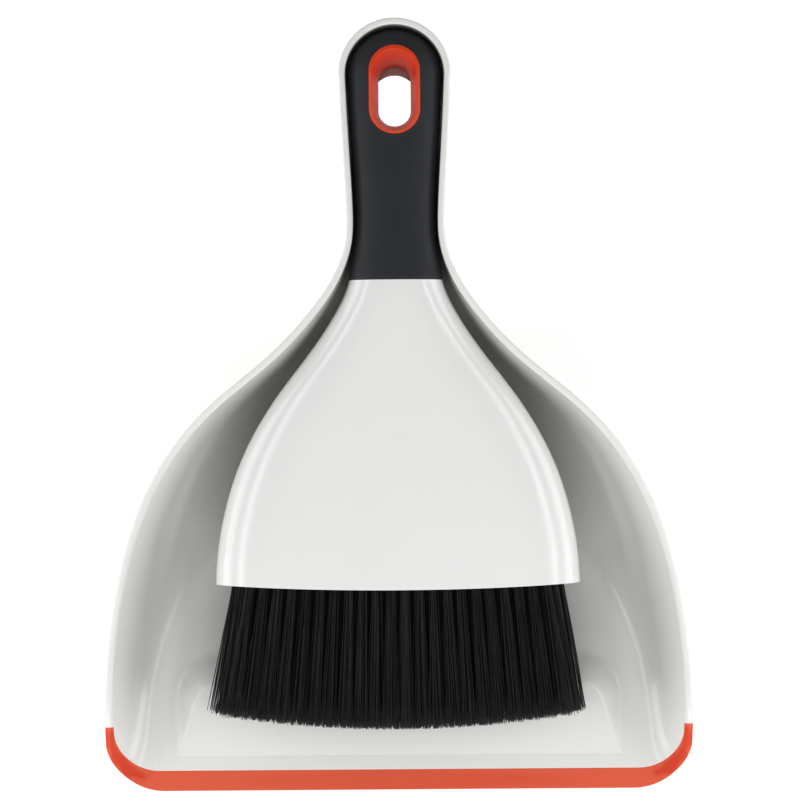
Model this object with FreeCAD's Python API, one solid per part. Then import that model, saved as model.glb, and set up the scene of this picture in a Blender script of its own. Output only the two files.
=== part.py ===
"""A dustpan with a hand brush that lies in it.

Frame: the origin is on the ground under the middle of the dustpan. X is across, Y runs from the
lip at the front (-Y) to the handle tip (+Y) and Z is up. The two halves mirror over X = 0.
All lengths are in millimetres.
"""
import FreeCAD, Part
import math
import os

V = FreeCAD.Vector

# Share of the way to a sharp corner at which a cubic curve's poles give a quarter round.
CIRCLE_SHARE = 0.5523
# Cutting blocks are longer than the object and reach past its bottom and its top.
FAR = 400.0
BELOW = -20.0
ABOVE = 120.0

# ---- dustpan: driving dimensions -------------------------------------------------------------
LIP_FRONT_Y = -164.0
TIP_CENTRE_Y = 140.5
PAN_HALF_WIDTH = 125.6
PLAN_MARGIN = 0.4
WALL = 2.0
FLOOR = 2.0
RIM_FLANGE = 2.8
RIM_BEAD = 3.2
RIM_ROUND = 0.9
CHANNEL_FLOOR_Z = 35.6
SCOOP_START_Y = -4.0
SCOOP_END_Y = 62.0
KNEE_LIMIT = 0.62
BEAD_LIMIT = 0.6
ROUND_LIMIT = 0.4
# Loft sections along Y, each run as (first, last, count).
PAN_RUNS = [(-172.0, -140.0, 6), (-140.0, -20.0, 14), (-20.0, 76.0, 15), (76.0, TIP_CENTRE_Y, 7)]
CORNER_RADIUS = 24.3
BASE_TRIM = 0.12

# Stations along Y. Each pair is (Y, value), and a smooth curve passes through them.
RIM_OUTLINE = [
    (-180, 125.6), (-135, 125.6), (-106, 124.2), (-71.6, 118.6), (-37.6, 107.7), (-12, 92.3),
    (4.5, 76.6), (21, 56.4), (38, 39.3), (54.5, 27.2), (70, 21.2), (85, 20.6), (112, 22.1),
    (140.5, 23.5),
]
RIM_HEIGHT = [
    (-180, 4.4), (-168, 4.5), (-158, 6.5), (-148, 13.0), (-135, 21.5), (-106, 29.0), (-72, 37.0),
    (-38, 43.5), (-4, 49.0), (30, 54.0), (60, 57.0), (100, 58.0), (140.5, 58.0),
]
WALL_RUN = [
    (-180, 9.0), (-150, 10.0), (-106, 13.0), (-70, 17.5), (-20, 21.0), (0, 19.0), (20, 14.0),
    (40, 6.0), (60, 1.2), (90, 0.6), (140.5, 0.6),
]
CORNER_TANGENT = [
    (-180, 7.0), (-150, 7.0), (-106, 8.5), (-70, 15.0), (-20, 26.0), (0, 26.0), (20, 20.0),
    (40, 13.0), (60, 9.0), (140.5, 9.0),
]

# ---- lip and debris ramp -----------------------------------------------------------------------
LIP_BACK_Y = -155.3
LIP_END_Y = -134.5
LIP_INNER_HALF_WIDTH = 122.0
LIP_INNER_RADIUS = 18.0
RAMP_HALF_WIDTH = 95.7
RAMP_BACK_Y = -106.0
RAMP_FRONT_Y = -149.0
RAMP_TOP_Z = 9.0
RAMP_FLANK = 10.5
RAMP_RADIUS = 17.0
RAMP_WALL = 2.0
RAMP_FOOT_ROUND = 7.0
RAMP_CREST_ROUND = 2.5
RAMP_CORNER_SHARE = 0.6
FOOT_STEPS = 5
FOOT_MARGIN = 0.4
FOOT_SINK = 0.03
FOOT_DEPTH = 0.5
RAMP_HEADROOM = 2.0
HOLLOW_BELOW = 1.0

# ---- hanging slot in the dustpan ---------------------------------------------------------------
SLOT_HALF_WIDTH = 9.6
SLOT_BACK_Y = 141.8
SLOT_FRONT_Y = 114.5

# ---- brush: driving dimensions -----------------------------------------------------------------
HEAD_MOUTH_Y = -75.5
HEAD_MOUTH_CORNER_Y = -73.0
HEAD_NECK_Y = 54.7
COVER_WALL = 2.2
GRIP_TIP_CENTRE_Y = 140.0
CORE_COVER = 3.0
CORE_TANG_Y = 14.0

HEAD_OUTLINE = [
    (-80, 77.4), (-70, 77.1), (-59, 76.2), (-42, 73.0), (-25, 67.7), (-8, 59.6), (8.6, 48.8),
    (25, 36.2), (42, 25.0), (54.7, 19.6), (62, 18.6), (71, 17.2), (88, 16.8), (105, 17.8),
    (121, 19.0), (140, 19.6),
]
CORE_OUTLINE = [
    (0, 15.5), (50, 16.6), (71, 16.4), (88, 16.4), (105, 17.4), (121, 18.9), (140, 19.4),
]
SQUARENESS = [
    (-80, 0.88), (-60, 0.87), (-30, 0.81), (20, 0.70), (54.7, 0.68), (140, 0.68),
]
HALF_THICKNESS = [
    (-80, 15.8), (-50, 15.6), (-20, 14.9), (20, 13.2), (54.7, 12.0), (90, 11.4), (140, 12.0),
]
BRUSH_LEVEL = [
    (-80, 29.2), (-20, 38.3), (30, 45.9), (55, 48.9), (80, 49.6), (140, 49.6),
]

# ---- bristles ----------------------------------------------------------------------------------
TUFTS_IN_ROWS = [22, 23, 24, 23, 22]
TUFT_PITCH = 5.93
TUFT_ROOT_RADIUS = 1.95
TUFT_TIP_RADIUS = 2.25
ROW_PITCH = 4.2
ROW_FLARE = 1.12
TIP_FLARE = 1.125
TUFT_ROOT_Y = -70.0
TUFT_TIP_Y = -135.6
TUFT_TIP_CORNER_Y = -129.0
TUFT_SLOPE = math.tan(math.radians(10.0))
WEB_THICKNESS = 1.0
WEB_START = 6.0
WEB_TIP_GAP = 1.5
HOLE_DEPTH = 9.0
ANCHOR_THICKNESS = 0.5
HOLE_CLEARANCE = 0.08
HOLE_OVERRUN = 12.0
BLOCK_LENGTH = 17.0
BLOCK_GAP = 0.05

# ---- hanging ring ------------------------------------------------------------------------------
RING_HALF_WIDTH = 10.7
RING_BACK_Y = 152.4
RING_FRONT_Y = 115.3
RING_EDGE = 0.9
THROAT_HALF_WIDTH = 6.8
THROAT_BACK_Y = 145.1
THROAT_FRONT_Y = 119.4
RING_PROUD = 0.35
RING_START_Y = 100.0
FUNNEL_TOP = 0.5
FUNNEL_BOTTOM = 1.0
FUNNEL_WAIST_Z = 2.0
WAIST_SIDE = 0.9
WAIST_FRONT = 0.6
WAIST_BACK = 2.4

# ---- cover screws ------------------------------------------------------------------------------
SCREW_PLACES = [(-38.0, -22.0), (38.0, -22.0), (0.0, 2.0)]
SCREW_HEAD_RADIUS = 3.4
SCREW_HEAD_HEIGHT = 2.2
SCREW_SHANK_RADIUS = 1.5
BOSS_RADIUS = 4.5
BOSS_GAP = 0.4
BOSS_INSET = 0.3
SCREW_SEAT = 0.9
SCREW_LENGTH = 20.0
RECESS_DEPTH = 12.0
DRIVE_LENGTH = 4.0
DRIVE_WIDTH = 0.9
DRIVE_DEPTH = 1.1
DRIVE_OVERRUN = 0.1


def natural_spline(stations):
    """A function with continuous curvature through the stations."""
    count = len(stations)
    xs = [float(x) for x, _ in stations]
    vs = [float(v) for _, v in stations]
    diagonal = [1.0] * count
    upper = [0.0] * count
    right = [0.0] * count
    for i in range(1, count - 1):
        before = xs[i] - xs[i - 1]
        after = xs[i + 1] - xs[i]
        step = 6.0 * ((vs[i + 1] - vs[i]) / after - (vs[i] - vs[i - 1]) / before)
        diagonal[i] = 2.0 * (before + after) - before * upper[i - 1]
        upper[i] = after / diagonal[i]
        right[i] = (step - before * right[i - 1]) / diagonal[i]
    bend = [0.0] * count
    for i in range(count - 2, 0, -1):
        bend[i] = right[i] - upper[i] * bend[i + 1]

    def value(x):
        i = 0
        while i < count - 2 and x > xs[i + 1]:
            i += 1
        span = xs[i + 1] - xs[i]
        a = (xs[i + 1] - x) / span
        b = 1.0 - a
        curve = (a ** 3 - a) * bend[i] + (b ** 3 - b) * bend[i + 1]
        return a * vs[i] + b * vs[i + 1] + curve * span * span / 6.0

    return value


def slope(function, x):
    """Slope of a function at x."""
    return function(x + 0.5) - function(x - 0.5)


rim_outline = natural_spline(RIM_OUTLINE)
rim_height = natural_spline(RIM_HEIGHT)
wall_run = natural_spline(WALL_RUN)
corner_tangent = natural_spline(CORNER_TANGENT)
head_outline = natural_spline(HEAD_OUTLINE)
core_outline = natural_spline(CORE_OUTLINE)
half_thickness = natural_spline(HALF_THICKNESS)
squareness = natural_spline(SQUARENESS)
brush_level = natural_spline(BRUSH_LEVEL)


def floor_height(y):
    """Top of the pan floor on the centre line: flat tray, smooth scoop, flat channel."""
    t = (y - SCOOP_START_Y) / (SCOOP_END_Y - SCOOP_START_Y)
    t = min(max(t, 0.0), 1.0)
    rise = t * t * t * (t * (6.0 * t - 15.0) + 10.0)
    return FLOOR + (CHANNEL_FLOOR_Z - FLOOR) * rise


def line(a, b):
    return Part.makeLine(a, b)


def bezier(*poles):
    curve = Part.BezierCurve()
    curve.setPoles(list(poles))
    return curve.toShape()


def rounding(a, corner, b):
    """A quarter-round edge from a to b under the given sharp corner."""
    return bezier(a, a + (corner - a) * CIRCLE_SHARE, b + (corner - b) * CIRCLE_SHARE, b)


def frange(start, end, count):
    return [start + (end - start) * i / (count - 1) for i in range(count)]


# ---- dustpan -----------------------------------------------------------------------------------
def pan_half_path(y, side):
    """Edges of half a pan section at y, from the inside floor over the rim to the underside."""
    outer = rim_outline(y)
    lean = math.sqrt(1.0 + slope(rim_outline, y) ** 2)
    wall = WALL * lean
    inner = outer - RIM_FLANGE * lean
    rim = rim_height(y)
    floor = floor_height(y)
    under = floor - FLOOR * math.sqrt(1.0 + slope(floor_height, y) ** 2) - BASE_TRIM
    foot = inner - wall_run(y)
    depth = rim - floor
    tangent = corner_tangent(y)
    share = min(tangent / depth, KNEE_LIMIT)
    bead = min(RIM_BEAD, BEAD_LIMIT * (rim - under))
    round_x = RIM_ROUND * lean
    round_z = min(RIM_ROUND, ROUND_LIMIT * bead)

    def p(x, z):
        return V(side * x, y, z)

    def on_wall(z, offset):
        return foot + (inner - foot) * (z - floor) / depth + offset

    knee = floor + share * (depth - round_z)
    under_foot = foot + wall
    under_knee = under + share * (rim - bead - under)
    flat = foot - tangent * lean
    points = {
        "centre": p(0, floor),
        "flat": p(flat, floor),
        "foot": p(foot, floor),
        "knee": p(on_wall(knee, 0), knee),
        "brim": p(on_wall(rim - round_z, 0), rim - round_z),
        "brim_corner": p(inner, rim),
        "land_in": p(inner + round_x, rim),
        "land_out": p(outer - round_x, rim),
        "edge_corner": p(outer, rim),
        "edge": p(outer, rim - round_z),
        "skirt": p(outer, rim - bead),
        "tuck": p(on_wall(rim - bead, wall), rim - bead),
        "under_knee": p(on_wall(under_knee, wall), under_knee),
        "under_foot": p(under_foot, under),
        "under_flat": p(flat, under),
        "under_centre": p(0, under),
    }
    q = points
    return [
        line(q["centre"], q["flat"]),
        rounding(q["flat"], q["foot"], q["knee"]),
        line(q["knee"], q["brim"]),
        rounding(q["brim"], q["brim_corner"], q["land_in"]),
        line(q["land_in"], q["land_out"]),
        rounding(q["land_out"], q["edge_corner"], q["edge"]),
        line(q["edge"], q["skirt"]),
        line(q["skirt"], q["tuck"]),
        line(q["tuck"], q["under_knee"]),
        rounding(q["under_knee"], q["under_foot"], q["under_flat"]),
        line(q["under_flat"], q["under_centre"]),
    ]


def pan_section(y):
    right = pan_half_path(y, 1.0)
    left = pan_half_path(y, -1.0)
    return Part.Wire(Part.__sortEdges__(right + left))


def pan_body():
    """The pan before its front is trimmed: lofted tray and channel, and a turned handle tip."""
    stations = [TIP_CENTRE_Y]
    for first, last, count in PAN_RUNS:
        stations += frange(first, last, count)[:-1]
    stations.sort()
    tray = Part.makeLoft([pan_section(y) for y in stations], True, False)
    half = pan_half_path(TIP_CENTRE_Y, 1.0)
    floor = floor_height(TIP_CENTRE_Y)
    half.append(line(V(0, TIP_CENTRE_Y, floor - FLOOR - BASE_TRIM), V(0, TIP_CENTRE_Y, floor)))
    profile = Part.Face(Part.Wire(Part.__sortEdges__(half)))
    tip = profile.revolve(V(0, TIP_CENTRE_Y, 0), V(0, 0, 1), 180)
    return tray.fuse(tip).removeSplitter()


def plan_prism(half_width, front_y, back_y, radius, bottom, top):
    """An upright prism whose two front corners are rounded in plan."""
    r = radius
    w = half_width
    c = r * math.sqrt(0.5)
    edges = [
        line(V(w, back_y, bottom), V(w, front_y + r, bottom)),
        Part.Arc(V(w, front_y + r, bottom), V(w - r + c, front_y + r - c, bottom),
                 V(w - r, front_y, bottom)).toShape(),
        line(V(w - r, front_y, bottom), V(r - w, front_y, bottom)),
        Part.Arc(V(r - w, front_y, bottom), V(r - w - c, front_y + r - c, bottom),
                 V(-w, front_y + r, bottom)).toShape(),
        line(V(-w, front_y + r, bottom), V(-w, back_y, bottom)),
        line(V(-w, back_y, bottom), V(w, back_y, bottom)),
    ]
    return Part.Face(Part.Wire(edges)).extrude(V(0, 0, top - bottom))


def slab(front_y, back_y, bottom, top):
    """A box across the whole width."""
    return Part.makeBox(FAR, back_y - front_y, top - bottom, V(-FAR / 2, front_y, bottom))


def stadium(half_width, front_y, back_y, z):
    """A closed slot outline along Y at height z."""
    w = half_width
    near = front_y + w
    far = back_y - w
    return Part.Wire([
        line(V(w, near, z), V(w, far, z)),
        Part.Arc(V(w, far, z), V(0, back_y, z), V(-w, far, z)).toShape(),
        line(V(-w, far, z), V(-w, near, z)),
        Part.Arc(V(-w, near, z), V(0, front_y, z), V(w, near, z)).toShape(),
    ])


def side_prism(outline, half_width):
    """A prism across X from a closed outline of (Y, Z) points."""
    points = [V(-half_width, y, z) for y, z in outline]
    return Part.Face(Part.makePolygon(points + points[:1])).extrude(V(2 * half_width, 0, 0))


def rounded_block(half_width, back_y, radius, z):
    """A long outline with two rounded back corners, for the ramp."""
    w = half_width
    r = radius
    c = r * math.sqrt(0.5)
    front = LIP_FRONT_Y
    return Part.Wire([
        line(V(w, front, z), V(w, back_y - r, z)),
        Part.Arc(V(w, back_y - r, z), V(w - r + c, back_y - r + c, z),
                 V(w - r, back_y, z)).toShape(),
        line(V(w - r, back_y, z), V(r - w, back_y, z)),
        Part.Arc(V(r - w, back_y, z), V(r - w - c, back_y - r + c, z),
                 V(-w, back_y - r, z)).toShape(),
        line(V(-w, back_y - r, z), V(-w, front, z)),
        line(V(-w, front, z), V(w, front, z)),
    ])


def ramp_climb():
    """Height gained per millimetre along the ramp's top."""
    return (RAMP_TOP_Z - FLOOR) / (RAMP_BACK_Y - RAMP_FLANK - RAMP_FRONT_Y)


def ramp(profile, drop):
    """A raised block: its flank follows (outset, height) pairs and its top climbs from the lip."""
    rings = []
    for outset, height in profile:
        radius = RAMP_RADIUS + RAMP_CORNER_SHARE * outset
        rings.append(rounded_block(RAMP_HALF_WIDTH + outset, RAMP_BACK_Y + outset, radius,
                                   FLOOR + height))
    block = Part.makeLoft(rings, True, True)
    far = 30.0
    over = side_prism([(RAMP_FRONT_Y - far, FLOOR - drop - far * ramp_climb()),
                       (RAMP_BACK_Y - RAMP_FLANK, RAMP_TOP_Z - drop),
                       (RAMP_BACK_Y + far, RAMP_TOP_Z - drop), (RAMP_BACK_Y + far, 2 * far),
                       (RAMP_FRONT_Y - far, 2 * far)], RAMP_HALF_WIDTH + far)
    return block.cut(over).cut(slab(-FAR / 2, RAMP_FRONT_Y, BELOW, ABOVE))


def flank_profile():
    """(outset, height) pairs from the ramp's soft foot up its flank."""
    steep = math.atan((RAMP_TOP_Z - FLOOR) / RAMP_FLANK)
    reach = RAMP_FOOT_ROUND * math.tan(steep / 2)
    profile = [(reach + FOOT_MARGIN, -FOOT_DEPTH), (reach + FOOT_MARGIN, -FOOT_SINK)]
    for angle in frange(steep / FOOT_STEPS, steep, FOOT_STEPS):
        profile.append((reach - RAMP_FOOT_ROUND * math.sin(angle),
                        RAMP_FOOT_ROUND * (1 - math.cos(angle))))
    outset, height = profile[-1]
    rise = RAMP_TOP_Z + RAMP_HEADROOM - FLOOR - height
    profile.append((outset - rise / math.tan(steep), height + rise))
    return profile


def hollow_profile():
    """Plain flank of the hollow under the ramp."""
    bottom = -FLOOR - HOLLOW_BELOW
    rise = RAMP_TOP_Z + RAMP_HEADROOM - FLOOR - bottom
    run = rise * RAMP_FLANK / (RAMP_TOP_Z - FLOOR)
    return [(-RAMP_WALL, bottom), (-RAMP_WALL - run, bottom + rise)]


def crest_edges(block):
    """The edges round the ramp's top."""
    edges = []
    for edge in block.Edges:
        middle = edge.valueAt((edge.FirstParameter + edge.LastParameter) / 2)
        top = min(FLOOR + (middle.y - RAMP_FRONT_Y) * ramp_climb(), RAMP_TOP_Z)
        if abs(middle.z - top) < 0.02 and middle.y > RAMP_FRONT_Y + 0.5:
            edges.append(edge)
    return edges


def dustpan():
    body = pan_body()
    outline = plan_prism(PAN_HALF_WIDTH + PLAN_MARGIN, LIP_FRONT_Y, FAR / 2, CORNER_RADIUS,
                         BELOW, ABOVE)
    body = body.common(outline).cut(slab(-FAR / 2, FAR / 2, BELOW, 0.0))
    inside = plan_prism(LIP_INNER_HALF_WIDTH, LIP_BACK_Y, 0.0, LIP_INNER_RADIUS, BELOW, ABOVE)
    band = slab(-FAR / 2, LIP_END_Y, BELOW, ABOVE).cut(inside)
    lip = body.common(band)
    shell = body.cut(band)
    raised = ramp(flank_profile(), 0.0)
    raised = raised.makeFillet(RAMP_CREST_ROUND, crest_edges(raised))
    shell = shell.fuse(raised).cut(ramp(hollow_profile(), RAMP_WALL))
    slot = Part.Face(stadium(SLOT_HALF_WIDTH, SLOT_FRONT_Y, SLOT_BACK_Y, BELOW))
    shell = shell.cut(slot.extrude(V(0, 0, ABOVE - BELOW)))
    return {"pan_shell": shell, "front_lip": lip}


# ---- brush head and handle ---------------------------------------------------------------------
def crown_poles(y, inset, upward, outline=head_outline):
    """Poles of the right quarter of the brush section at y, from its side to its middle."""
    lean = math.sqrt(1.0 + slope(outline, y) ** 2)
    half_width = outline(y) - inset * lean
    height = upward * (half_thickness(y) - inset)
    level = brush_level(y)
    square = squareness(y)
    return [
        V(half_width, y, level),
        V(half_width, y, level + square * height),
        V(square * half_width, y, level + height),
        V(0, y, level + height),
    ]


def crown(y, inset, upward, outline=head_outline):
    """Upper (+1) or lower (-1) half of the brush section at y, inset all round."""
    right = crown_poles(y, inset, upward, outline)
    left = [V(-pole.x, pole.y, pole.z) for pole in reversed(right)]
    return [bezier(*right), bezier(*left)], right[0], left[-1]


def full_section(y, inset, outline=head_outline):
    top, _, _ = crown(y, inset, 1, outline)
    bottom, _, _ = crown(y, inset, -1, outline)
    return Part.Wire(Part.__sortEdges__(top + bottom))


def cover_section(y, upward):
    """Closed section of one hollow head cover."""
    outer, outer_right, outer_left = crown(y, 0.0, upward)
    inner, inner_right, inner_left = crown(y, COVER_WALL, upward)
    edges = outer + inner + [line(outer_left, inner_left), line(inner_right, outer_right)]
    return Part.Wire(Part.__sortEdges__(edges))


def turned_tip(centre_y, inset, outline):
    """Half-round end of the handle about an upright axis."""
    upper = crown_poles(centre_y, inset, 1, outline)
    lower = crown_poles(centre_y, inset, -1, outline)
    edges = [bezier(*upper), bezier(*lower), line(upper[-1], lower[-1])]
    profile = Part.Face(Part.Wire(Part.__sortEdges__(edges)))
    return profile.revolve(V(0, centre_y, 0), V(0, 0, 1), 180)


def handle_solid(start_y, inset, outline=head_outline):
    """The handle, or its core when inset, from start_y to the round tip."""
    stations = frange(start_y, GRIP_TIP_CENTRE_Y, 12)
    shaft = Part.makeLoft([full_section(y, inset, outline) for y in stations], True, False)
    tip = turned_tip(GRIP_TIP_CENTRE_Y, inset, outline)
    return shaft.fuse(tip).removeSplitter()


def core_solid():
    return handle_solid(CORE_TANG_Y, CORE_COVER, core_outline)


def mouth_trim():
    """Everything behind the curved front edge of the head."""
    corner = head_outline(HEAD_MOUTH_CORNER_Y)
    beside = HEAD_MOUTH_CORNER_Y + 1
    right = V(corner, HEAD_MOUTH_CORNER_Y, BELOW)
    left = V(-corner, HEAD_MOUTH_CORNER_Y, BELOW)
    far = FAR / 2
    path = [left, V(-far, beside, BELOW), V(-far, far, BELOW), V(far, far, BELOW),
            V(far, beside, BELOW), right]
    edges = [Part.Arc(right, V(0, HEAD_MOUTH_Y, BELOW), left).toShape()]
    edges += [line(a, b) for a, b in zip(path, path[1:])]
    return Part.Face(Part.Wire(edges)).extrude(V(0, 0, ABOVE - BELOW))


def boss(x, y, upward):
    """Screw post that reaches from a cover's inside almost to the parting level."""
    level = brush_level(y)
    height = half_thickness(y)
    foot = V(x, y, level + upward * BOSS_GAP / 2)
    return Part.makeCylinder(BOSS_RADIUS, height, foot, V(0, 0, upward))


def head_covers():
    stations = frange(-79.0, HEAD_NECK_Y, 15)
    trim = mouth_trim()
    core = core_solid()
    covers = {}
    for name, upward in (("head_top_cover", 1), ("head_bottom_cover", -1)):
        cover = Part.makeLoft([cover_section(y, upward) for y in stations], True, False)
        whole = Part.makeLoft([full_section(y, BOSS_INSET) for y in stations], True, False)
        for x, y in SCREW_PLACES:
            cover = cover.fuse(boss(x, y, upward).common(whole))
        cover = cover.common(trim)
        covers[name] = cover.cut(core)
    screws = []
    for x, y in SCREW_PLACES:
        floor = brush_level(y) - half_thickness(y) + SCREW_SEAT
        head = Part.makeCylinder(SCREW_HEAD_RADIUS, SCREW_HEAD_HEIGHT, V(x, y, floor))
        shank = Part.makeCylinder(SCREW_SHANK_RADIUS, SCREW_LENGTH, V(x, y, floor))
        recess = Part.makeCylinder(SCREW_HEAD_RADIUS, RECESS_DEPTH,
                                   V(x, y, floor + SCREW_HEAD_HEIGHT - RECESS_DEPTH))
        screw = head.fuse(shank)
        for length, width in ((DRIVE_LENGTH, DRIVE_WIDTH), (DRIVE_WIDTH, DRIVE_LENGTH)):
            place = V(x - length / 2, y - width / 2, floor - DRIVE_OVERRUN)
            screw = screw.cut(Part.makeBox(length, width, DRIVE_DEPTH + DRIVE_OVERRUN, place))
        screws.append(screw)
        covers["head_top_cover"] = covers["head_top_cover"].cut(shank)
        covers["head_bottom_cover"] = covers["head_bottom_cover"].cut(recess).cut(shank)
    covers["cover_screws"] = Part.makeCompound(screws)
    return covers


def handle_parts():
    """Core, soft sleeve and hanging ring."""
    core = core_solid()
    grip = handle_solid(HEAD_NECK_Y, 0.0)
    ring_outside = Part.Face(stadium(RING_HALF_WIDTH, RING_FRONT_Y, RING_BACK_Y, BELOW))
    ring_outside = ring_outside.extrude(V(0, 0, ABOVE - BELOW))
    level = brush_level(GRIP_TIP_CENTRE_Y)
    reach = half_thickness(GRIP_TIP_CENTRE_Y)
    wide = stadium(RING_HALF_WIDTH - RING_EDGE, RING_FRONT_Y + RING_EDGE,
                   RING_BACK_Y - RING_EDGE, level + reach + FUNNEL_TOP)
    waist = stadium(THROAT_HALF_WIDTH + WAIST_SIDE, THROAT_FRONT_Y - WAIST_FRONT,
                    THROAT_BACK_Y + WAIST_BACK, level + FUNNEL_WAIST_Z)
    throat = stadium(THROAT_HALF_WIDTH, THROAT_FRONT_Y, THROAT_BACK_Y,
                     level - reach - FUNNEL_BOTTOM)
    funnel = Part.makeLoft([wide, waist, throat], True, False)
    ring = ring_outside.common(handle_solid(RING_START_Y, -RING_PROUD)).cut(funnel)
    return {
        "handle_core": core.cut(ring_outside),
        "grip_sleeve": grip.cut(core).cut(ring_outside),
        "hang_ring": ring,
    }


# ---- bristles ----------------------------------------------------------------------------------
def tuft_line(row, index):
    """Root point and tip point of one tuft."""
    across = (index - (TUFTS_IN_ROWS[row] - 1) / 2.0) * TUFT_PITCH
    up = (row - (len(TUFTS_IN_ROWS) - 1) / 2.0) * ROW_PITCH
    edge = TUFT_PITCH * (max(TUFTS_IN_ROWS) - 1) / 2.0
    bow = (across / edge) ** 2
    root_y = TUFT_ROOT_Y + (HEAD_MOUTH_CORNER_Y - HEAD_MOUTH_Y) * bow
    tip_y = TUFT_TIP_Y + (TUFT_TIP_CORNER_Y - TUFT_TIP_Y) * bow
    level = brush_level(root_y)
    root = V(across, root_y, level + up)
    tip = V(across * TIP_FLARE, tip_y, level - TUFT_SLOPE * (root_y - tip_y) + up * ROW_FLARE)
    return root, tip


def row_web(lines):
    """Thin sheet where the splayed tufts of one row merge with their neighbours."""
    sections = []
    half = V(0, 0, WEB_THICKNESS / 2.0)
    for root, tip in lines:
        direction = (tip - root).normalize()
        start = root + direction * WEB_START
        end = tip - direction * WEB_TIP_GAP
        sections.append(Part.makePolygon([start - half, end - half, end + half, start + half,
                                          start - half]))
    return Part.makeLoft(sections, True, True)


def bristles():
    """The drilled block, its tufts and their anchors."""
    back = TUFT_ROOT_Y + BLOCK_LENGTH
    stations = frange(HEAD_MOUTH_Y - 2.0, back, 4)
    inset = COVER_WALL + BLOCK_GAP
    block = Part.makeLoft([full_section(y, inset) for y in stations], True, False)
    behind = mouth_trim().translated(V(0, TUFT_ROOT_Y - HEAD_MOUTH_Y, 0))
    block = block.common(behind)
    nodes = {}
    holes = []
    for row, count in enumerate(TUFTS_IN_ROWS):
        lines = [tuft_line(row, index) for index in range(count)]
        tufts = []
        anchors = []
        for root, tip in lines:
            direction = (tip - root).normalize()
            seat = root - direction * HOLE_DEPTH
            length = (tip - seat).Length
            tufts.append(Part.makeCone(TUFT_ROOT_RADIUS, TUFT_TIP_RADIUS,
                                       length - ANCHOR_THICKNESS,
                                       seat + direction * ANCHOR_THICKNESS, direction))
            anchors.append(Part.makeCylinder(TUFT_ROOT_RADIUS, ANCHOR_THICKNESS, seat, direction))
            holes.append(Part.makeCylinder(TUFT_ROOT_RADIUS + HOLE_CLEARANCE,
                                           HOLE_DEPTH + HOLE_OVERRUN, seat, direction))
        nodes["tuft_row_%d" % (row + 1)] = row_web(lines).fuse(tufts)
        nodes["anchor_row_%d" % (row + 1)] = Part.makeCompound(anchors)
    nodes["bristle_block"] = block.cut(Part.makeCompound(holes))
    return nodes


def main():
    os.makedirs("parts", exist_ok=True)
    nodes = {}
    nodes.update(dustpan())
    nodes.update(head_covers())
    nodes.update(handle_parts())
    nodes.update(bristles())
    for name, shape in nodes.items():
        shape.exportStep("parts/%s.step" % name)
        box = shape.BoundBox
        print("%-18s solids %3d valid %s volume %9.1f  X %.1f..%.1f Y %.1f..%.1f Z %.1f..%.1f" % (
            name, len(shape.Solids), shape.isValid(), shape.Volume, box.XMin, box.XMax,
            box.YMin, box.YMax, box.ZMin, box.ZMax))


main()
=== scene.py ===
"""Looks for a dustpan with a hand brush lying in it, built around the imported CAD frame."""
import math
import random

import bpy
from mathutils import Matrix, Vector


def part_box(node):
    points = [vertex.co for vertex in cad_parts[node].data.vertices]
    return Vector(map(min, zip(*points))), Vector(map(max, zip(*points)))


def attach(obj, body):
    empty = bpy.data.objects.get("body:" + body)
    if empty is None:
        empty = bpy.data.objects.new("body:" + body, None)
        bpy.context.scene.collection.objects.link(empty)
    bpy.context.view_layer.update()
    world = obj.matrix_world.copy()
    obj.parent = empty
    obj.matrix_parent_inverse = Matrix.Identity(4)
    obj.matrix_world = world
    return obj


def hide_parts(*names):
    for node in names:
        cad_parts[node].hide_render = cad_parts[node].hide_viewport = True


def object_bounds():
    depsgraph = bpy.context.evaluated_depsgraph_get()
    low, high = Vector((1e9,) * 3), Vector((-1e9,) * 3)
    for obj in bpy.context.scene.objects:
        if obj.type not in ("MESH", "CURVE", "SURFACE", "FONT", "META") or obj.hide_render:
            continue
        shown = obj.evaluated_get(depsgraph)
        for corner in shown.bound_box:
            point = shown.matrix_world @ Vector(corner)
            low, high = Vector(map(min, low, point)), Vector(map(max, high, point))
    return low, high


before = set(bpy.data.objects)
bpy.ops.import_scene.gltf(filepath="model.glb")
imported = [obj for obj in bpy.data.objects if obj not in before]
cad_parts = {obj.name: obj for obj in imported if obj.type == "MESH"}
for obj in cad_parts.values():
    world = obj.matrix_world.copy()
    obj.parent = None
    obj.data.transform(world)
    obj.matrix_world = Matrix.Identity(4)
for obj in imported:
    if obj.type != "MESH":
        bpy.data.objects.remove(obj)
CAD_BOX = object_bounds()

MM = 0.001

# ---- bristles, in metres ---------------------------------------------------------------------
FILAMENTS_IN_TUFT = 64
FILAMENT_RADIUS = 0.17 * MM
FILAMENT_RINGS = 6
FILAMENT_SIDES = 4
TUFTS_IN_ROWS = [22, 23, 24, 23, 22]
TUFT_PITCH = 5.93 * MM
TUFT_RADIUS = 1.9 * MM
ROW_FLARE = 1.12
TIP_FLARE = 1.125
TIP_BOW = 6.6 * MM
ROOT_BOW = 2.5 * MM
TIP_RAGGED = 2.6 * MM
ROW_PITCH = 4.2 * MM
FIRST_SEED = 40
MIDDLE_ROW = 2
# The filaments start this far in front of their row's back face, and stop this far from its front.
ROOT_BACK_GAP = 14.8 * MM
TIP_FRONT_GAP = 0.4 * MM
# Heights of the roots above the middle of the centre row's solid, and of the tips below the roots.
ROOT_LIFT = 4.9 * MM
TIP_DROP = 10.9 * MM
# How far a tuft opens at its tips, sideways and upwards, and how unevenly its filaments lie.
TIP_SPREAD = 3.5 * MM
TIP_RISE = 2.3 * MM
TIP_WANDER = 0.35 * MM
TIP_HEIGHT_WANDER = 0.25 * MM
MIDDLE_WANDER = 0.35 * MM
THICKNESS_RANGE = (0.85, 1.1)
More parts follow.
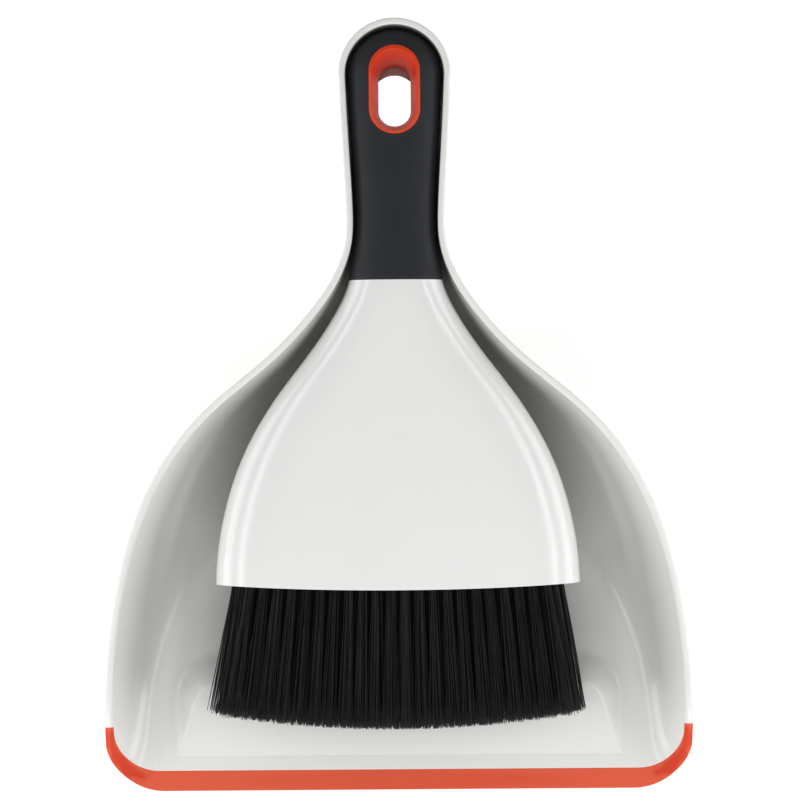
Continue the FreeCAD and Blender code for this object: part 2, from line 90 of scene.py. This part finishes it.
# A few filaments stray sideways, more of them in the tufts at the two ends of a row.
STRAY_SHARE = 0.010
STRAY_REACH = (2.0 * MM, 6.0 * MM)
EDGE_STRAY_SHARE = 0.12
EDGE_STRAY_REACH = (0.8 * MM, 3.2 * MM)

# ---- camera and light ------------------------------------------------------------------------
CAMERA_HEIGHT = 1.5
VIEW_WIDTH = 0.3467
VIEW_CENTRE = (0.0014, 0.0045)
VIEW_ROLL = math.radians(-0.41)
SENSOR = 36.0
VIEW_GAMMA = 0.75
CLIP_END = 20.0
FLOOR_REACH = 3.0
FLOOR_GAP = 0.0002
FLOOR_GLOW = 0.22
WORLD_STRENGTH = 0.47
LIGHT_TARGET = (0, -0.05, 0)
# Area lights: name, place in metres, length, watts, width (None for a square one).
LIGHTS = [
    ("left_box", (-0.9, -0.1, 0.36), 1.0, 4.2, 0.5),
    ("right_box", (0.9, -0.1, 0.36), 1.0, 4.2, 0.5),
    ("front_box", (0.0, -1.1, 0.7), 0.9, 4.8, 0.5),
    ("left_strip", (-0.72, -0.15, 1.0), 1.1, 1.9, 0.16),
    ("right_strip", (0.72, -0.15, 1.0), 1.1, 1.9, 0.16),
    ("key", (0.0, -0.5, 1.4), 0.9, 1.0, None),
]

# ---- materials -------------------------------------------------------------------------------
PLASTIC_IOR = 1.49
RUBBER_IOR = 1.45
NYLON_IOR = 1.53
# Pointiness at which the paler edge, partly rubbed wear and partly painted edge highlight, starts
# to show, and where it shows in full.
EDGE_START = 0.51
EDGE_FULL = 0.57


# ---- material helpers ------------------------------------------------------------------------
class Nodes:
    """Short calls for building one node material."""

    def __init__(self, name):
        self.material = bpy.data.materials.new(name)
        self.material.use_nodes = True
        self.tree = self.material.node_tree
        self.shader = self.tree.nodes["Principled BSDF"]

    def add(self, kind, **values):
        node = self.tree.nodes.new(kind)
        for key, value in values.items():
            if hasattr(node, key):
                setattr(node, key, value)
            else:
                node.inputs[key].default_value = value
        return node

    def link(self, source, target):
        self.tree.links.new(source, target)

    def place(self, scale=(1.0, 1.0, 1.0)):
        """Object coordinates stretched by scale."""
        coordinates = self.add("ShaderNodeTexCoord")
        mapping = self.add("ShaderNodeMapping")
        mapping.inputs["Scale"].default_value = scale
        self.link(coordinates.outputs["Object"], mapping.inputs["Vector"])
        return mapping.outputs["Vector"]

    def noise(self, scale, detail=4.0, stretch=(1.0, 1.0, 1.0)):
        texture = self.add("ShaderNodeTexNoise")
        texture.inputs["Scale"].default_value = scale
        texture.inputs["Detail"].default_value = detail
        self.link(self.place(stretch), texture.inputs["Vector"])
        return texture.outputs["Fac"]

    def ramp(self, factor, low, high, start=0.3, end=0.7):
        """Colour ramp between two colours or two grey values."""
        node = self.add("ShaderNodeValToRGB")
        low = low if isinstance(low, tuple) else (low, low, low)
        high = high if isinstance(high, tuple) else (high, high, high)
        node.color_ramp.elements[0].position = start
        node.color_ramp.elements[0].color = (*low, 1.0)
        node.color_ramp.elements[1].position = end
        node.color_ramp.elements[1].color = (*high, 1.0)
        self.link(factor, node.inputs["Fac"])
        return node.outputs["Color"]

    def mix(self, factor, a, b):
        node = self.add("ShaderNodeMix", data_type="RGBA")
        self.link(factor, node.inputs["Factor"])
        for value, socket in ((a, node.inputs[6]), (b, node.inputs[7])):
            if isinstance(value, tuple):
                socket.default_value = (*value, 1.0)
            else:
                self.link(value, socket)
        return node.outputs[2]

    def bump(self, *layers):
        """Stacked bumps, each (height, strength, distance in metres)."""
        normal = None
        for height, strength, distance in layers:
            node = self.add("ShaderNodeBump")
            node.inputs["Strength"].default_value = strength
            node.inputs["Distance"].default_value = distance
            self.link(height, node.inputs["Height"])
            if normal is not None:
                self.link(normal, node.inputs["Normal"])
            normal = node.outputs["Normal"]
        self.link(normal, self.shader.inputs["Normal"])

    def edges(self):
        """Factor that rises on exposed edges, from pointiness."""
        geometry = self.add("ShaderNodeNewGeometry")
        return self.ramp(geometry.outputs["Pointiness"], 0.0, 1.0, EDGE_START, EDGE_FULL)


def white_plastic():
    """Glossy moulded polypropylene, very slightly warm and uneven, with fine handling marks."""
    m = Nodes("white_plastic")
    cloud = m.noise(9.0, 3.0)
    base = m.ramp(cloud, (0.742, 0.741, 0.722), (0.762, 0.762, 0.744))
    dust = m.ramp(m.noise(900.0, 2.0), 0.0, 1.0, 0.70, 0.80)
    m.link(m.mix(dust, base, (0.722, 0.720, 0.698)), m.shader.inputs["Base Color"])
    smear = m.noise(38.0, 5.0, (1.0, 0.35, 1.0))
    m.link(m.ramp(smear, 0.16, 0.25), m.shader.inputs["Roughness"])
    m.shader.inputs["IOR"].default_value = PLASTIC_IOR
    m.bump((m.noise(60.0, 2.0), 0.05, 0.0006), (m.noise(1600.0, 2.0), 0.03, 0.00006))
    return m.material


def head_plastic():
    """The brush head's plastic: the same resin, a little cooler and smoother."""
    m = Nodes("head_plastic")
    cloud = m.noise(11.0, 3.0)
    base = m.ramp(cloud, (0.735, 0.735, 0.728), (0.752, 0.752, 0.746))
    m.link(base, m.shader.inputs["Base Color"])
    smear = m.noise(45.0, 5.0, (1.0, 0.4, 1.0))
    m.link(m.ramp(smear, 0.13, 0.20), m.shader.inputs["Roughness"])
    m.shader.inputs["IOR"].default_value = PLASTIC_IOR
    m.bump((m.noise(70.0, 2.0), 0.04, 0.0005), (m.noise(1700.0, 2.0), 0.02, 0.00005))
    return m.material


def soft_rubber(name, dark, light, low_gloss, high_gloss, edge_wear_and_highlight_colour, specular=0.4):
    """Satin elastomer with a fine grain and paler convex edges, partly rubbed wear and partly
    painted edge highlight.
    """
    m = Nodes(name)
    base = m.ramp(m.noise(24.0, 4.0), dark, light)
    # Convex edges turn to a paler colour, partly rubbed wear and partly a painted edge highlight.
    m.link(m.mix(m.edges(), base, edge_wear_and_highlight_colour), m.shader.inputs["Base Color"])
    m.link(m.ramp(m.noise(150.0, 5.0), low_gloss, high_gloss), m.shader.inputs["Roughness"])
    m.shader.inputs["IOR"].default_value = RUBBER_IOR
    m.shader.inputs["Specular IOR Level"].default_value = specular
    m.bump((m.noise(2200.0, 3.0), 0.25, 0.00008), (m.noise(120.0, 2.0), 0.05, 0.0004))
    return m.material


def nylon():
    """Black bristle filaments with lengthwise sheen differences."""
    m = Nodes("bristle_nylon")
    strand = m.noise(900.0, 2.0, (1.0, 0.02, 1.0))
    m.link(m.ramp(strand, (0.006, 0.006, 0.007), (0.024, 0.024, 0.026)),
           m.shader.inputs["Base Color"])
    m.link(m.ramp(m.noise(400.0, 2.0, (1.0, 0.05, 1.0)), 0.28, 0.46), m.shader.inputs["Roughness"])
    m.shader.inputs["IOR"].default_value = NYLON_IOR
    m.bump((m.noise(3000.0, 2.0), 0.1, 0.00003))
    return m.material


def plain_moulding(name, dark, light):
    """Satin plastic for the inner mouldings."""
    m = Nodes(name)
    m.link(m.ramp(m.noise(30.0, 4.0), dark, light), m.shader.inputs["Base Color"])
    m.link(m.ramp(m.noise(200.0, 4.0), 0.42, 0.58), m.shader.inputs["Roughness"])
    m.bump((m.noise(1200.0, 3.0), 0.2, 0.00008))
    return m.material


def brushed_metal(name):
    """Drawn and plated steel."""
    m = Nodes(name)
    grain = m.noise(700.0, 4.0, (1.0, 0.05, 1.0))
    m.link(m.ramp(grain, (0.44, 0.44, 0.45), (0.62, 0.62, 0.63)), m.shader.inputs["Base Color"])
    m.shader.inputs["Metallic"].default_value = 1.0
    m.link(m.ramp(grain, 0.24, 0.40), m.shader.inputs["Roughness"])
    m.bump((grain, 0.15, 0.00005))
    return m.material


def floor_material():
    """Matt white paper that glows a little, so that the floor is white in the view from above."""
    m = Nodes("studio_floor")
    m.link(m.ramp(m.noise(6.0, 3.0), 0.90, 0.92), m.shader.inputs["Base Color"])
    m.shader.inputs["Roughness"].default_value = 0.9
    m.shader.inputs["Emission Color"].default_value = (1.0, 1.0, 1.0, 1.0)
    m.shader.inputs["Emission Strength"].default_value = FLOOR_GLOW
    return m.material


# ---- pieces ----------------------------------------------------------------------------------
def dress(node, material):
    """Give a CAD node its material."""
    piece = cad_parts[node]
    piece.data.materials.clear()
    piece.data.materials.append(material)


def mesh_piece(name, points, faces, material):
    mesh = bpy.data.meshes.new(name)
    mesh.from_pydata(points, [], faces)
    mesh.validate()
    mesh.polygons.foreach_set("use_smooth", [True] * len(mesh.polygons))
    mesh.materials.append(material)
    piece = bpy.data.objects.new(name, mesh)
    bpy.context.scene.collection.objects.link(piece)
    return piece


def filament(points, faces, root, middle, tip, radius):
    """Append one tapered filament that bends from root through middle to tip."""
    start = len(points)
    along = (tip - root).normalized()
    side = along.cross(Vector((0, 0, 1))).normalized()
    up = side.cross(along)
    for ring in range(FILAMENT_RINGS):
        t = ring / (FILAMENT_RINGS - 1)
        centre = root * (1 - t) ** 2 + middle * 2 * t * (1 - t) + tip * t * t
        size = radius * (1.0 if ring < FILAMENT_RINGS - 1 else 0.55)
        for k in range(FILAMENT_SIDES):
            angle = 2 * math.pi * k / FILAMENT_SIDES
            points.append(centre + side * (size * math.cos(angle)) + up * (size * math.sin(angle)))
    for ring in range(FILAMENT_RINGS - 1):
        for k in range(FILAMENT_SIDES):
            a = start + ring * FILAMENT_SIDES + k
            b = start + ring * FILAMENT_SIDES + (k + 1) % FILAMENT_SIDES
            faces.append((a, b, b + FILAMENT_SIDES, a + FILAMENT_SIDES))
    last = start + (FILAMENT_RINGS - 1) * FILAMENT_SIDES
    faces.append(tuple(last + k for k in range(FILAMENT_SIDES)))


def bristle_row(row, count, material):
    """All filaments of one row, inside the space that the row's solid holds."""
    node = "tuft_row_%d" % (row + 1)
    low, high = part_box(node)
    rng = random.Random(FIRST_SEED + row)
    row_lift = (row - MIDDLE_ROW) * ROW_PITCH
    centre_low, centre_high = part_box("tuft_row_%d" % (MIDDLE_ROW + 1))
    root_y = high.y - ROOT_BACK_GAP
    tip_y = low.y + TIP_FRONT_GAP
    middle_z = 0.5 * (centre_low.z + centre_high.z)
    root_z = middle_z + ROOT_LIFT
    edge = TUFT_PITCH * (max(TUFTS_IN_ROWS) - 1) / 2
    points = []
    faces = []
    for index in range(count):
        across = (index - (count - 1) / 2) * TUFT_PITCH
        bow = (across / edge) ** 2
        for _ in range(FILAMENTS_IN_TUFT):
            spread = math.sqrt(rng.random())
            angle = rng.uniform(0, 2 * math.pi)
            dx = spread * math.cos(angle)
            dz = spread * math.sin(angle)
            root = Vector((across + dx * TUFT_RADIUS, root_y + ROOT_BOW * bow,
                           root_z + row_lift + dz * TUFT_RADIUS))
            reach = TIP_RAGGED * (rng.random() ** 2)
            wander = rng.gauss(0, TIP_WANDER)
            tip = Vector((across * TIP_FLARE + dx * TIP_SPREAD + wander,
                          tip_y + TIP_BOW * bow + reach,
                          root_z - TIP_DROP + row_lift * ROW_FLARE + dz * TIP_RISE))
            tip.z += rng.gauss(0, TIP_HEIGHT_WANDER)
            if rng.random() < STRAY_SHARE:
                tip.x += rng.choice((-1, 1)) * rng.uniform(*STRAY_REACH)
            if index in (0, count - 1) and rng.random() < EDGE_STRAY_SHARE:
                tip.x += math.copysign(rng.uniform(*EDGE_STRAY_REACH), across)
            middle = (root + tip) / 2
            middle.x += rng.gauss(0, MIDDLE_WANDER)
            middle.z += rng.gauss(0, MIDDLE_WANDER)
            radius = FILAMENT_RADIUS * rng.uniform(*THICKNESS_RANGE)
            filament(points, faces, root, middle, tip, radius)
    piece = mesh_piece("bristle_row_%d" % (row + 1), points, faces, material)
    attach(piece, "brush")
    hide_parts(node)


# ---- stage -----------------------------------------------------------------------------------
def area_light(name, place, size, power, size_y):
    """An area light aimed at the object."""
    data = bpy.data.lights.new(name, "AREA")
    data.energy = power
    data.size = size
    if size_y:
        data.shape = "RECTANGLE"
        data.size_y = size_y
    lamp = bpy.data.objects.new(name, data)
    lamp.location = place
    aim = Vector(LIGHT_TARGET) - Vector(place)
    lamp.rotation_euler = aim.to_track_quat("-Z", "Y").to_euler()
    bpy.context.scene.collection.objects.link(lamp)


def stage():
    """Floor, world and lights, and the view transform."""
    mesh = bpy.data.meshes.new("studio_floor")
    r = FLOOR_REACH
    mesh.from_pydata([(-r, -r, 0), (r, -r, 0), (r, r, 0), (-r, r, 0)], [], [(0, 1, 2, 3)])
    mesh.materials.append(floor_material())
    floor = bpy.data.objects.new("studio_floor", mesh)
    floor.location.z = CAD_BOX[0][2] - FLOOR_GAP
    bpy.context.scene.collection.objects.link(floor)
    world = bpy.data.worlds.new("studio")
    world.use_nodes = True
    background = world.node_tree.nodes["Background"]
    background.inputs["Color"].default_value = (1.0, 1.0, 1.0, 1.0)
    background.inputs["Strength"].default_value = WORLD_STRENGTH
    bpy.context.scene.world = world
    for light in LIGHTS:
        area_light(*light)
    view = bpy.context.scene.view_settings
    view.view_transform = "Standard"
    view.gamma = VIEW_GAMMA


def camera():
    """Camera straight above the object, as in the photograph."""
    data = bpy.data.cameras.new("camera")
    data.sensor_width = SENSOR
    data.lens = SENSOR * CAMERA_HEIGHT / VIEW_WIDTH
    data.clip_end = CLIP_END
    eye = bpy.data.objects.new("camera", data)
    eye.location = (VIEW_CENTRE[0], VIEW_CENTRE[1], CAMERA_HEIGHT)
    eye.rotation_euler = (0.0, 0.0, VIEW_ROLL)
    bpy.context.scene.collection.objects.link(eye)
    bpy.context.scene.camera = eye


def main():
    camera()
    stage()
    white = white_plastic()
    head = head_plastic()
    # Each rubber's last colour is its paler edge colour, partly rubbed wear and partly painted
    # edge highlight.
    lip = soft_rubber("lip_rubber", (0.625, 0.080, 0.034), (0.665, 0.092, 0.042), 0.42, 0.54,
                      (0.70, 0.16, 0.09))
    ring = soft_rubber("ring_plastic", (0.640, 0.078, 0.028), (0.680, 0.090, 0.034), 0.38, 0.50,
                       (0.68, 0.12, 0.06), 0.18)
    grip = soft_rubber("grip_rubber", (0.036, 0.038, 0.042), (0.044, 0.046, 0.051), 0.46, 0.58,
                       (0.048, 0.050, 0.056))
    dress("pan_shell", white)
    dress("front_lip", lip)
    dress("head_top_cover", head)
    dress("head_bottom_cover", head)
    dress("grip_sleeve", grip)
    dress("hang_ring", ring)
    dress("bristle_block", plain_moulding("block_plastic", (0.02, 0.02, 0.02), (0.03, 0.03, 0.03)))
    dress("handle_core", plain_moulding("core_plastic", (0.62, 0.62, 0.60), (0.68, 0.68, 0.66)))
    metal = brushed_metal("screw_steel")
    dress("cover_screws", metal)
    wire = brushed_metal("anchor_wire")
    filaments = nylon()
    for row, count in enumerate(TUFTS_IN_ROWS):
        dress("anchor_row_%d" % (row + 1), wire)
        bristle_row(row, count, filaments)


main()
